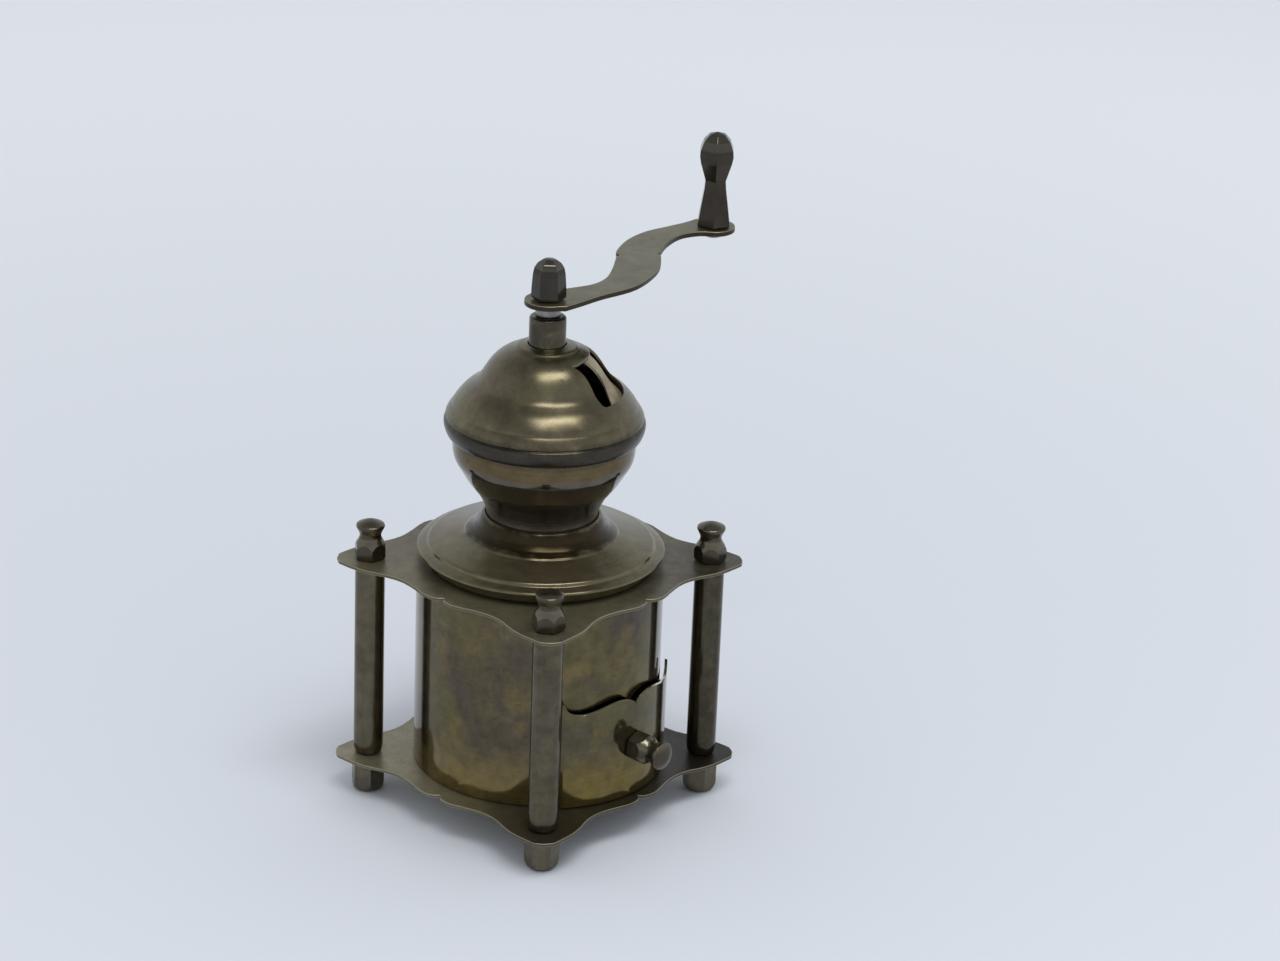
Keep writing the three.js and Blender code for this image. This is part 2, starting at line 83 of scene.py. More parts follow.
class Shader:
    def __init__(self, owner):  # a new material or world
        owner.use_nodes = True
        self.owner = owner
        self.tree = owner.node_tree

    def node(self, kind, settings=None, values=None, out=0):
        made = self.tree.nodes.new(kind)
        for key, value in (settings or {}).items():
            setattr(made, key, value)
        for key, value in (values or {}).items():
            self.feed(made.inputs[key], value)
        return Field(self, made.outputs[out])

    def feed(self, target, value):
        if isinstance(value, Field):
            self.tree.links.new(value.socket, target)
        elif isinstance(value, tuple) and len(value) == 3 and target.type == "RGBA":
            target.default_value = (*value, 1)
        else:
            target.default_value = value

    def vectorMaths(self, operation, *values, out=0):
        return self.node("ShaderNodeVectorMath", {"operation": operation}, dict(enumerate(values)), out)

    def noise(self, place, scale, detail, roughness, distortion=0.0):
        values = {
            "Vector": place,
            "Scale": scale,
            "Detail": detail,
            "Roughness": roughness,
            "Distortion": distortion,
        }
        return self.node("ShaderNodeTexNoise", None, values)

    def between(self, value, low, high):  # 0 below low, 1 above high, smooth in between
        settings = {"interpolation_type": "SMOOTHSTEP"}
        return self.node("ShaderNodeMapRange", settings, {0: value, 1: low, 2: high})

    def mixed(self, share, first, second, blend="MIX"):
        settings = {"data_type": "RGBA", "blend_type": blend}
        return self.node("ShaderNodeMix", settings, {0: share, 6: first, 7: second}, 2)

    def heightOf(self, vector):
        return self.node("ShaderNodeSeparateXYZ", None, {0: vector}, 2)

    def bump(self, relief):  # relief in metres
        return self.node("ShaderNodeBump", None, {"Strength": 1.0, "Distance": 1.0, "Height": relief})

    def finish(self, colour, metallic, roughness, normal=None):
        surface = self.tree.nodes["Principled BSDF"].inputs
        self.feed(surface["Base Color"], colour)
        self.feed(surface["Metallic"], metallic)
        self.feed(surface["Roughness"], roughness)
        if normal is not None:
            self.feed(surface["Normal"], normal)
        return self.owner


# Marks that the finishes share. A pair is the range in which a noise, or the tilt of the surface, fades a
# mark in or out. The rest are factors, and sizes in metres.
marks = {
    "brown": (0.34, 0.68),
    "gold": (0.48, 0.72),
    "speck": (0.68, 0.76),
    "side": (0.15, 0.4),
    "bevelIn": (0.2, 0.45),
    "bevelOut": (0.86, 0.98),
    "litTopFade": (0.3, 0.7),
    "tarnish": (0.4, 0.7),
    "cloudScale": 3.3,
    "lineRough": 0.5,
    "lowReflectionWander": 1.3,
    "stainWander": 0.004,
    "stainEdge": 0.0008,
    "grainRelief": 0.00002,
    "lineRelief": 0.00001,
    "across": (0.65, -0.75, 0),  # the way of the painted side shade and of a band's span: towards the front right pillar
}


# Aged brass: an olive patina with brown clouds, rubbed gold patches, dark specks and soft dents. Some looks
# add
# painted light: a painted highlight on bevels and top edges, painted shade on upright sides and towards one
# side, and painted reflections low down or in bands. Drawn or turned metal has fine lines: along Z, or round
# the shaft axis where the look says "turned".
def agedBrass(name, look):
    s = Shader(bpy.data.materials.new(name))
    place = s.node("ShaderNodeTexCoord", out="Object")
    height = s.heightOf(place)
    across = s.vectorMaths("DOT_PRODUCT", place, marks["across"], out=1)
    broad = s.noise(place, scale=look["patch"], detail=2.0, roughness=0.5, distortion=0.6)
    cloudScale = look["patch"] * marks["cloudScale"]
    cloud = s.noise(place, scale=cloudScale, detail=4.0, roughness=0.62, distortion=0.3)
    grain = s.noise(place, scale=900.0, detail=3.0, roughness=0.6)
    mottle = s.noise(place, scale=230.0, detail=4.0, roughness=0.65)
    specks = s.noise(place, scale=420.0, detail=2.0, roughness=0.5)
    if look.get("turned"):
        flat = s.vectorMaths("MULTIPLY", s.vectorMaths("SUBTRACT", place, tuple(shaftAxis)), (1, 1, 0))
        rings = s.node("ShaderNodeCombineXYZ", None, {0: s.vectorMaths("LENGTH", flat, out=1), 2: height})
        lines = s.noise(rings, scale=1500.0, detail=2.0, roughness=0.5)
    else:
        streaks = s.vectorMaths("MULTIPLY", place, (1, 1, 0.04))  # drawn out along Z
        lines = s.noise(streaks, scale=700.0, detail=3.0, roughness=0.6)
    colour = s.mixed(s.between(broad, *marks["brown"]), look["olive"], look["brown"])
    gold = s.between(cloud, *marks["gold"]) * look["goldShare"]
    if "lowGoldAndPaintedReflection" in look:  # rubbed gold and a painted reflection of the floor, below a height
        low, high, share = look["lowGoldAndPaintedReflection"]
        level = height + (cloud - 0.5) * (high - low) * marks["lowReflectionWander"]
        gold = gold + (1 - s.between(level, low, high)) * share
    gold = s.node("ShaderNodeMath", {"operation": "MINIMUM"}, {0: gold, 1: 1.0})
    colour = s.mixed(gold, colour, look["gold"])
    for low, high, share, tint, *span in look.get("bands", []):  # stains, painted shade or painted light between two heights
        level = height + (cloud - 0.5) * marks["stainWander"]
        edge = marks["stainEdge"]
        inside = s.between(level, low - edge, low + edge) * (1 - s.between(level, high - edge, high + edge))
        if span:
            inside = inside * s.between(across, *span)
        colour = s.mixed(inside * share, colour, tint)
    colour = s.mixed(s.between(specks, *marks["speck"]) * look["specks"], colour, look["dark"])
    shade = (grain - 0.5) * look["grain"] + (lines - 0.5) * look["lines"] + (mottle - 0.5) * look["mottle"]
    if "paintedSideShade" in look:  # painted shade: darker towards the front right pillar
        start, end, share = look["paintedSideShade"]
        shade = shade - s.between(across, start, end) * share
    shade = shade + 1
    grey = s.node("ShaderNodeCombineXYZ", None, {0: shade, 1: shade, 2: shade})
    colour = s.mixed(1, colour, grey, "MULTIPLY")
    if "rim" in look:  # painted shade on the upright sides and a painted highlight on the bevel of flat sheet, or on the slopes of a facetted nut
        flatness = abs(s.heightOf(s.node("ShaderNodeNewGeometry", out="Normal")))
        colour = s.mixed((1 - s.between(flatness, *marks["side"])) * look["sideShadeShare"], colour, look["side"])
        bevel = s.between(flatness, *marks["bevelIn"]) * (1 - s.between(flatness, *marks["bevelOut"]))
        colour = s.mixed(bevel * look["rimShare"], colour, look["rim"])
    if "edge" in look:  # painted highlight on the cut rim on top of an upright sheet
        facing = s.heightOf(s.node("ShaderNodeNewGeometry", out="Normal"))
        colour = s.mixed(s.between(facing, *marks["litTopFade"]), colour, look["edge"])
    roughness = look["rough"] + (cloud - 0.5) * look["roughVary"]
    roughness = roughness + (lines - 0.5) * look["lines"] * marks["lineRough"]
    if "dull" in look:  # duller below a height
        low, high, more = look["dull"]
        roughness = roughness + (1 - s.between(height, low, high)) * more
    relief = s.noise(place, scale=look["dentScale"], detail=2.0, roughness=0.4) * look["dentDepth"]
    relief = relief + grain * look["grain"] * marks["grainRelief"]
    relief = relief + lines * look["lines"] * marks["lineRelief"]
    return s.finish(colour, look["metallic"], roughness, s.bump(relief))


# Steel of the small hidden parts, with fine turning marks in its roughness.
def workedSteel(name, look):
    s = Shader(bpy.data.materials.new(name))
    place = s.node("ShaderNodeTexCoord", out="Object")
    cloud = s.noise(place, scale=220.0, detail=4.0, roughness=0.6)
    grain = s.noise(place, scale=1600.0, detail=3.0, roughness=0.6)
    colour = s.mixed(s.between(cloud, *marks["tarnish"]), look["bright"], look["dull"])
    roughness = look["rough"] + (cloud - 0.5) * look["roughVary"] + (grain - 0.5) * look["grain"]
    return s.finish(colour, 1.0, roughness, s.bump(grain * marks["grainRelief"]))


patina = {
    "olive": (0.165, 0.155, 0.115),
    "brown": (0.125, 0.108, 0.082),
    "gold": (0.235, 0.195, 0.105),
    "dark": (0.05, 0.042, 0.032),
    "goldShare": 0.35,
    "specks": 0.4,
    "mottle": 0.8,
    "patch": 55.0,
    "metallic": 0.9,
    "rough": 0.3,
    "roughVary": 0.2,
    "grain": 0.25,
    "lines": 0.3,
    "dentScale": 60.0,
    "dentDepth": 0.00012,
}
glossy = {
    "rough": 0.13,
    "roughVary": 0.1,
    "dentScale": 38.0,
    "dentDepth": 0.0002,
    "grain": 0.2,
    "turned": True,
}
facets = {  # few specks, stronger lines, painted highlight on the slopes, painted shade on the sides
    "specks": 0.1,
    "grain": 0.15,
    "lines": 0.5,
    "roughVary": 0.1,
    "dentDepth": 0.00004,
    "rim": (0.105, 0.098, 0.075),
    "rimShare": 0.75,
    "side": (0.045, 0.038, 0.031),
    "sideShadeShare": 0.5,
}
finishes = {
    "plate_brass": {
        **patina,
        "olive": (0.168, 0.151, 0.094),
        "brown": (0.135, 0.114, 0.071),
        # painted highlight on the bevel, painted shade on the sides
        "rim": (0.42, 0.38, 0.27),
        "rimShare": 0.7,
        "side": (0.1, 0.085, 0.055),
        "sideShadeShare": 0.7,
        "metallic": 0.65,
        "rough": 0.4,
        # painted shade towards the front right of the plates
        "paintedSideShade": (-0.01, 0.045, 0.58),
        # painted shade on the base plate, but for its left end, and painted light on that left end
        "bands": [
            (-0.01, 0.02, 0.9, (0.034, 0.028, 0.018), -0.045, -0.015),
            (-0.01, 0.02, 0.7, (0.33, 0.3, 0.2), -0.03, -0.055),
        ],
        "dentScale": 90.0,
        "dentDepth": 0.00022,
    },
    "foot_brass": {**patina, "olive": (0.13, 0.118, 0.076), "gold": (0.2, 0.165, 0.08), "rough": 0.26},
    "pillar_brass": {
        **patina,
        "olive": (0.118, 0.105, 0.07),
        "brown": (0.096, 0.081, 0.058),
        "gold": (0.16, 0.132, 0.066),
        "rough": 0.2,
        "roughVary": 0.1,
        "mottle": 1.0,
        # painted shade towards the front right pillar
        "paintedSideShade": (-0.05, 0.055, 0.42),
    },
    "finial_brass": {
        **patina,
        "olive": (0.1, 0.088, 0.06),
        "brown": (0.08, 0.067, 0.049),
        # painted highlight on the bevel, painted shade on the sides
        "rim": (0.155, 0.14, 0.1),
        "rimShare": 0.7,
        "side": (0.062, 0.05, 0.037),
        "sideShadeShare": 0.6,
        "rough": 0.22,
        "specks": 0.2,
    },
    "drum_brass": {
        **patina,
        **glossy,
        "olive": (0.129, 0.11, 0.051),
        "brown": (0.088, 0.072, 0.056),
        "gold": (0.21, 0.158, 0.062),
        "patch": 26.0,
        "mottle": 1.0,
        "goldShare": 0.55,
        # rubbed gold and a painted reflection of the floor, low on the drum
        "lowGoldAndPaintedReflection": (0.017, 0.033, 0.8),
    },
    "drawer_brass": {
        **patina,
        **glossy,
        "olive": (0.122, 0.107, 0.057),
        "brown": (0.092, 0.079, 0.058),
        "gold": (0.2, 0.15, 0.045),
        # painted highlight on the drawer's top edge
        "edge": (0.6, 0.55, 0.43),
        "patch": 30.0,
        "mottle": 1.0,
        "goldShare": 0.55,
        # rubbed gold and a painted reflection of the floor, low on the drawer
        "lowGoldAndPaintedReflection": (0.018, 0.036, 0.75),
    },
    "tray_brass": {**patina, "olive": (0.2, 0.175, 0.11), "gold": (0.3, 0.24, 0.12), "rough": 0.38},
    "cover_brass": {
        **patina,
        "olive": (0.158, 0.139, 0.082),
        "brown": (0.13, 0.108, 0.064),
        "gold": (0.22, 0.175, 0.08),
        "metallic": 0.8,
        "rough": 0.22,
        "roughVary": 0.12,
        "patch": 40.0,
        "mottle": 1.0,
        "turned": True,
        # painted shade on the cover's neck
        "bands": [(0.0912, 0.097, 0.95, (0.024, 0.015, 0.004))],
    },
    "bowl_brass": {
        **patina,
        **glossy,
        "olive": (0.15, 0.125, 0.08),
        "brown": (0.13, 0.105, 0.075),
        "gold": (0.25, 0.195, 0.1),
        "rough": 0.1,
        "bands": [
            (0.09, 0.1085, 0.75, (0.14, 0.118, 0.092)),
            (0.1135, 0.118, 0.75, (0.11, 0.098, 0.09)),
            (0.118, 0.1225, 0.75, (0.11, 0.077, 0.034)),
            (0.1222, 0.1245, 0.65, (0.06, 0.042, 0.025)),
        ],
        "dull": (0.0985, 0.103, 0.3),
    },
    "lid_brass": {
        **patina,
        "olive": (0.138, 0.126, 0.074),
        "brown": (0.128, 0.104, 0.068),
        "gold": (0.21, 0.184, 0.088),
        "goldShare": 0.45,
        "metallic": 0.95,
        "rough": 0.28,
        "roughVary": 0.12,
        "lines": 0.12,
        "patch": 32.0,
        "turned": True,
        # painted shade on the lid's rim band and in the dark line under its bead
        "bands": [
            (0.1235, 0.1296, 0.85, (0.038, 0.034, 0.031)),
            (0.1296, 0.1309, 0.6, (0.05, 0.04, 0.026)),
        ],
    },
    "door_brass": {
        **patina,
        "olive": (0.33, 0.28, 0.18),
        "brown": (0.2, 0.155, 0.09),
        "gold": (0.36, 0.3, 0.175),
        "rough": 0.5,
        "patch": 90.0,
        "grain": 0.6,
        "metallic": 0.4,
    },
    "collar_brass": {**patina, "olive": (0.073, 0.066, 0.047), "brown": (0.056, 0.049, 0.036), "rough": 0.22},
    "arm_brass": {
        **patina,
        "olive": (0.18, 0.17, 0.103),
        "brown": (0.15, 0.135, 0.08),
        # painted highlight on the bevel, painted shade on the sides
        "rim": (0.34, 0.31, 0.23),
        "rimShare": 0.7,
        "side": (0.03, 0.024, 0.016),
        "sideShadeShare": 0.92,
        "rough": 0.4,
    },
    "nut_brass": {
        **patina,
        **facets,
        "olive": (0.048, 0.043, 0.037),
        "brown": (0.034, 0.03, 0.027),
        "gold": (0.08, 0.065, 0.037),
        "rough": 0.12,
    },
    "knob_brass": {
        **patina,
        **facets,
        "olive": (0.066, 0.058, 0.045),
        "brown": (0.048, 0.04, 0.034),
        "gold": (0.09, 0.075, 0.045),
        "rough": 0.17,
    },
}
steel = {"roughVary": 0.25, "grain": 0.1}
steels = {
    "plain_steel": {**steel, "bright": (0.26, 0.25, 0.235), "dull": (0.17, 0.165, 0.155), "rough": 0.3},
    "burr_steel": {**steel, "bright": (0.16, 0.155, 0.15), "dull": (0.1, 0.095, 0.09), "rough": 0.45},
}
materials = {name: agedBrass(name, look) for name, look in finishes.items()}
materials.update({name: workedSteel(name, look) for name, look in steels.items()})
print("materials made:", len(materials))


# Points of a line. Here its corners are cut back, each pass by half as much, never past a quarter of a side.
def softened(points, reach, passes=2, loop=True):
    for turn in range(passes):
        rounded = []
        for i, point in enumerate(points):
            if not loop and i in (0, len(points) - 1):
                rounded.append(point)
                continue
            for neighbour in (points[i - 1], points[(i + 1) % len(points)]):
                share = min(0.25, reach / max(math.dist(point, neighbour), 1e-6))
                rounded.append(tuple(p + (n - p) * share for p, n in zip(point, neighbour)))
        points = rounded
        reach /= 2
    return points


def softProfile(profile, reach, passes=1):  # a profile that begins and ends on the axis keeps those points
    return softened(profile, reach, passes, loop=profile[0][0] > 0)


def throughPoints(points, steps):  # a smooth curve from the first point to the last
    curve = []
    last = len(points) - 1
    for i in range(last):
        around = [points[min(max(i + k, 0), last)] for k in (-1, 0, 1, 2)]
        for step in range(steps):
            t = step / steps
            weights = (
                -t + 2 * t * t - t**3,
                2 - 5 * t * t + 3 * t**3,
                t + 4 * t * t - 3 * t**3,
                t**3 - t * t,
            )
            curve.append(tuple(sum(w * p[axis] for w, p in zip(weights, around)) / 2 for axis in (0, 1)))
    return curve + [points[-1]]


def arcPoints(centre, radius, first, last, steps):
    angles = [math.radians(first + (last - first) * i / steps) for i in range(steps + 1)]
    return [(centre[0] + radius * math.cos(a), centre[1] + radius * math.sin(a)) for a in angles]


def turnedBy(points, degrees):
    c, s = math.cos(math.radians(degrees)), math.sin(math.radians(degrees))
    return [(x * c - y * s, x * s + y * c) for x, y in points]


# Mesh makers, all in millimetres
def moved(bm, x, y, z=0.0):
    bmesh.ops.translate(bm, verts=bm.verts, vec=(x, y, z))
    return bm


# A lathe: the profile is closed, or begins and ends on the axis, and starts its turn at an angle.
def spun(profile, steps, start=0.0):
    bm = bmesh.new()
    verts = [bm.verts.new((r, 0, z)) for r, z in profile]
    edges = [bm.edges.new(pair) for pair in zip(verts, verts[1:])]
    if profile[0][0] > 0:
        edges.append(bm.edges.new((verts[-1], verts[0])))
    bmesh.ops.rotate(bm, verts=verts, matrix=Matrix.Rotation(math.radians(start), 3, "Z"))
    around = {"cent": (0, 0, 0), "axis": (0, 0, 1), "angle": 2 * math.pi, "steps": steps}
    bmesh.ops.spin(bm, geom=verts + edges, use_merge=True, **around)
    bmesh.ops.remove_doubles(bm, verts=bm.verts, dist=1e-4)
    bmesh.ops.recalc_face_normals(bm, faces=bm.faces)
    return bm


def tube(inner, outer, low, high):
    return spun([(inner, low), (outer, low), (outer, high), (inner, high)], 180)


def extruded(bm, faces, vec):  # faces drawn out to a closed solid
    grown = bmesh.ops.extrude_face_region(bm, geom=faces)
    bmesh.ops.translate(bm, verts=[v for v in grown["geom"] if isinstance(v, bmesh.types.BMVert)], vec=vec)
    bmesh.ops.recalc_face_normals(bm, faces=bm.faces)
    return bm


def slab(outline, low, high, rim=0.0):  # a flat outline raised to a thickness, its rims rounded in two steps
    bm = bmesh.new()
    face = bm.faces.new([bm.verts.new((x, y, low + rim)) for x, y in outline])
    extruded(bm, [face], (0, 0, high - low - 2 * rim))
    if rim:
        for inward, outward in ((0.3, 0.7), (0.7, 0.3)):
            step = {"thickness": rim * inward, "depth": rim * outward, "use_even_offset": True}
            for end in [f for f in bm.faces if abs(f.normal.z) > 0.99]:
                bmesh.ops.inset_region(bm, faces=[end], **step)
    return bm


def asObject(bm, name):
    mesh = bpy.data.meshes.new(name)
    bm.to_mesh(mesh)
    bm.free()
    made = bpy.data.objects.new(name, mesh)
    bpy.context.scene.collection.objects.link(made)
    return made


def combined(bm, tool, operation):  # DIFFERENCE, INTERSECT or UNION of two closed shapes
    first, second = asObject(bm, "first"), asObject(tool, "second")
    modifier = first.modifiers.new("combine", "BOOLEAN")
    modifier.operation = operation
    modifier.solver = "EXACT"
    modifier.object = second
    seen = first.evaluated_get(bpy.context.evaluated_depsgraph_get())
    result = bmesh.new()
    result.from_mesh(seen.to_mesh())
    for made in (first, second):
        mesh = made.data
        bpy.data.objects.remove(made)
        bpy.data.meshes.remove(mesh)
    bmesh.ops.remove_doubles(result, verts=result.verts, dist=1e-4)
    return result


def drilled(sheet, x, y, radius, low, high):  # a round hole, by a drill that reaches from low to high
    drill = spun([(0, low), (radius, low), (radius, high), (0, high)], 48)
    return combined(sheet, moved(drill, x, y), "DIFFERENCE")


def eased(bm, width, degrees=25, segments=2):  # every real edge bevelled
    bmesh.ops.dissolve_limit(bm, angle_limit=math.radians(0.4), verts=bm.verts, edges=bm.edges)
    sharp = [e for e in bm.edges if e.is_manifold and e.calc_face_angle(0) > math.radians(degrees)]
    shape = {"segments": segments, "profile": 0.5, "affect": "EDGES", "clamp_overlap": True, "material": -1}
    bmesh.ops.bevel(bm, geom=sharp, offset=width, **shape)
    return bm


# Hexagonal bar trimmed by a turned shape. A new bar has a corner at 30 degrees, which goes to the turn.
def hexTurned(flats, turn, profile):
    low, high = min(z for r, z in profile), max(z for r, z in profile)
    spare = 1  # bar left over at each end
    bar = bmesh.new()
    bmesh.ops.create_circle(bar, cap_ends=True, radius=flats / math.sqrt(3), segments=6)
    extruded(bar, list(bar.faces), (0, 0, high - low + 2 * spare))
    bmesh.ops.rotate(bar, verts=bar.verts, matrix=Matrix.Rotation(math.radians(turn - 30), 3, "Z"))
    return combined(moved(bar, 0, 0, low - spare), spun(profile, 72), "INTERSECT")


# A finished shape becomes a piece in metres: edges below an angle are smooth, flat faces may be weighted.
def addPiece(name, bm, body, slot, *replaced, smoothBelow=35, weighted=False):
    bmesh.ops.scale(bm, verts=bm.verts, vec=(0.001, 0.001, 0.001))
    bmesh.ops.translate(bm, verts=bm.verts, vec=shaftAxis)
    for face in bm.faces:
        face.smooth = True
    for edge in bm.edges:
        edge.smooth = edge.calc_face_angle(0) < math.radians(smoothBelow)
    piece = asObject(bm, name)
    piece.data.materials.append(materials[slot])
    if weighted:
        modifier = piece.modifiers.new("facets", "WEIGHTED_NORMAL")
        modifier.keep_sharp = True
    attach(piece, body)
    if replaced:
        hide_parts(*replaced)


# Plates: half of one side, from its middle notch to the corner lobe, as distance along and distance out
plates = {
    "side": [
        (0, 44.4), (1.3, 45.9), (4, 46.7), (7, 46.5), (12, 45), (17, 43.9), (21, 43.8), (25, 44.6),
        (29.5, 46.2), (34, 47.2),
    ],
    "lobeRadius": 6.8,
    "lobeCentre": 40.8,
    "lobeAngles": (10, 27, 45),
    "rim": 0.25,
    "thick": 1.1,
    "nicks": 0.22,
    "waves": [(0.35, 1.0, 0), (1.1, 0.6, 7)],  # of the filed edge: how close, how strong, shift of the seed
    "pillarHole": 2.4,
    "base": {"under": 11.8, "seed": 3.0, "holes": []},
    "top": {"under": 79.9, "seed": 11.0, "holes": [(0, 0, 19.0), (-22, 0, 1.8), (22, 0, 1.8)]},
}
pillarSpots = {
    "front_left": (-38.2, -38.2),
    "front_right": (38.2, -38.2),
    "back_left": (-38.2, 38.2),
    "back_right": (38.2, 38.2),
}


def plateOutline(seed):
    p = plates
    lobe = []
    for degrees in p["lobeAngles"]:
        a = math.radians(degrees)
        along, out = p["lobeRadius"] * math.sin(a), p["lobeRadius"] * math.cos(a)
        lobe.append((p["lobeCentre"] + along, p["lobeCentre"] + out))
    half = throughPoints(p["side"] + lobe, 5)
    quarter = half[:-1] + [(out, along) for along, out in reversed(half)][:-1]
    points = []
    for side in range(4):
        points += turnedBy(quarter, -90 * side)
    rough = []
    for x, y in points:  # filed by hand: the edge wanders by a fraction of a millimetre
        n = 0
        for close, strong, shift in p["waves"]:
            n += strong * noise.noise(Vector((x * close, y * close, seed + shift)))
        grow = 1 - abs(n) * p["nicks"] / math.hypot(x, y)
        rough.append((x * grow, y * grow))
    return rough


for which in ("base", "top"):
    own = plates[which]
    sheet = slab(plateOutline(own["seed"]), own["under"], own["under"] + plates["thick"], plates["rim"])
    for x, y, radius in [(*spot, plates["pillarHole"]) for spot in pillarSpots.values()] + own["holes"]:
        sheet = drilled(sheet, x, y, radius, own["under"] - 2, own["under"] + 4)
    addPiece(which + "Plate", sheet, "stand", "plate_brass", which + "_plate", smoothBelow=50, weighted=True)
print("plates made")

# Corner columns: a round pillar, with a foot and a finial turned from hexagonal bar. Their turn is the
# angle of one of the bar's corners.
columns = {
    "foot": [(0, 0), (3.9, 0), (4.7, 0.5), (5.3, 1.6), (5.65, 3.6), (5.65, 10.8), (5.3, 11.5), (0, 11.5)],
    "pillar": [(0, 13.2), (4.1, 13.2), (4.55, 14.2), (4.75, 16.2), (4.75, 78), (4.4, 79.6), (0, 79.6)],
    "finial": [
        (0, 0), (4.8, 0), (5.3, 0.7), (5.25, 3.2), (4.6, 4.9), (3.75, 6.3), (3.35, 7.4), (3.6, 8.5),
        (4.45, 10.2), (4.6, 10.7), (4.4, 11.3), (0, 13.1),
    ],
    "footFlats": 9.6,
    "footEdge": 0.2,
    "finialFlats": 9.0,
    "finialEdge": 0.15,
    "finialUnder": 81.3,
    "footTurn": {"front_left": -48, "front_right": -62, "back_left": 54, "back_right": 5},
    "finialTurn": {"front_left": -60, "front_right": 12, "back_left": -8, "back_right": 35},
}
c = columns
for corner, (x, y) in pillarSpots.items():
    foot = hexTurned(c["footFlats"], c["footTurn"][corner], softProfile(c["foot"], reach=0.3))
    foot = eased(foot, c["footEdge"])
    pillar = spun(softProfile(c["pillar"], reach=0.5, passes=2), steps=72)
    finial = hexTurned(c["finialFlats"], c["finialTurn"][corner], softProfile(c["finial"], reach=0.2))
    finial = eased(finial, c["finialEdge"])
    for kind, shape, lift in (("foot", foot, 0), ("pillar", pillar, 0), ("finial", finial, c["finialUnder"])):
        name = kind + corner.title().replace("_", "")
        addPiece(name, moved(shape, x, y, lift), "stand", kind + "_brass", kind + "_" + corner, weighted=True)
print("columns made")

# Drum and drawer: the drawer's bracket-shaped edge is given as degrees from the middle and height
drum = {
    "radius": 39.4,
    "wall": 0.8,
    "wallEdge": 0.12,
    "low": 13.2,
    "high": 79.6,
    "edge": [
        (0, 44), (2, 45.7), (5, 46.8), (9, 47.2), (13, 47.1), (18, 46.4), (23, 45.5), (28, 45), (32, 45.2),
        (35, 45.9), (37, 46.9), (38.4, 48.9),
    ],
    "frontLow": 13.3,
    "frontThick": 0.9,
    "frontEdge": 0.3,
    "frontBlank": 60,  # top of the ring that the front is cut from
    "clearance": 0.12,
    "pulledOut": 3.0,
    "cut": (-60, -10),  # from and to, along Y
    "pullFlats": 9.0,
    "pullTurn": 23,
    "pullSpot": (0, -42.7, 30),
}
d = drum


def bracketPrism(clearance):  # the drawer front seen from the front, as a bar along Y
    edge = [(d["radius"] * math.sin(math.radians(a)), z + clearance) for a, z in throughPoints(d["edge"], 3)]
    if clearance:
        edge.append((edge[-1][0] + clearance * 0.8, edge[-1][1] + clearance))
    right = [(edge[-1][0], d["frontLow"] - 2 * clearance), *reversed(edge)]
    outline = right + [(-x, z) for x, z in reversed(right[:-1])]
    near, far = d["cut"]
    bm = bmesh.new()
    face = bm.faces.new([bm.verts.new((x, near, z)) for x, z in outline])
    return extruded(bm, [face], (0, far - near, 0))


wall = tube(d["radius"] - d["wall"], d["radius"], d["low"], d["high"])
wall = eased(combined(wall, bracketPrism(d["clearance"]), "DIFFERENCE"), d["wallEdge"], segments=1)
addPiece("drumWall", wall, "stand", "drum_brass", "drum", smoothBelow=30, weighted=True)
front = tube(d["radius"] - d["frontThick"], d["radius"], d["frontLow"], d["frontBlank"])
front = eased(combined(front, bracketPrism(0), "INTERSECT"), d["frontEdge"], segments=1)
front = moved(front, 0, -d["pulledOut"])
addPiece("drawerFace", front, "drawer", "drawer_brass", "drawer_front", smoothBelow=30, weighted=True)
pull = hexTurned(d["pullFlats"], d["pullTurn"], softProfile(columns["finial"], reach=0.2))
pull = eased(pull, columns["finialEdge"])
bmesh.ops.rotate(pull, verts=pull.verts, matrix=Matrix.Rotation(math.radians(90), 3, "X"))
addPiece("drawerPull", moved(pull, *d["pullSpot"]), "drawer", "finial_brass", "drawer_knob", weighted=True)
print("drum and drawer made")

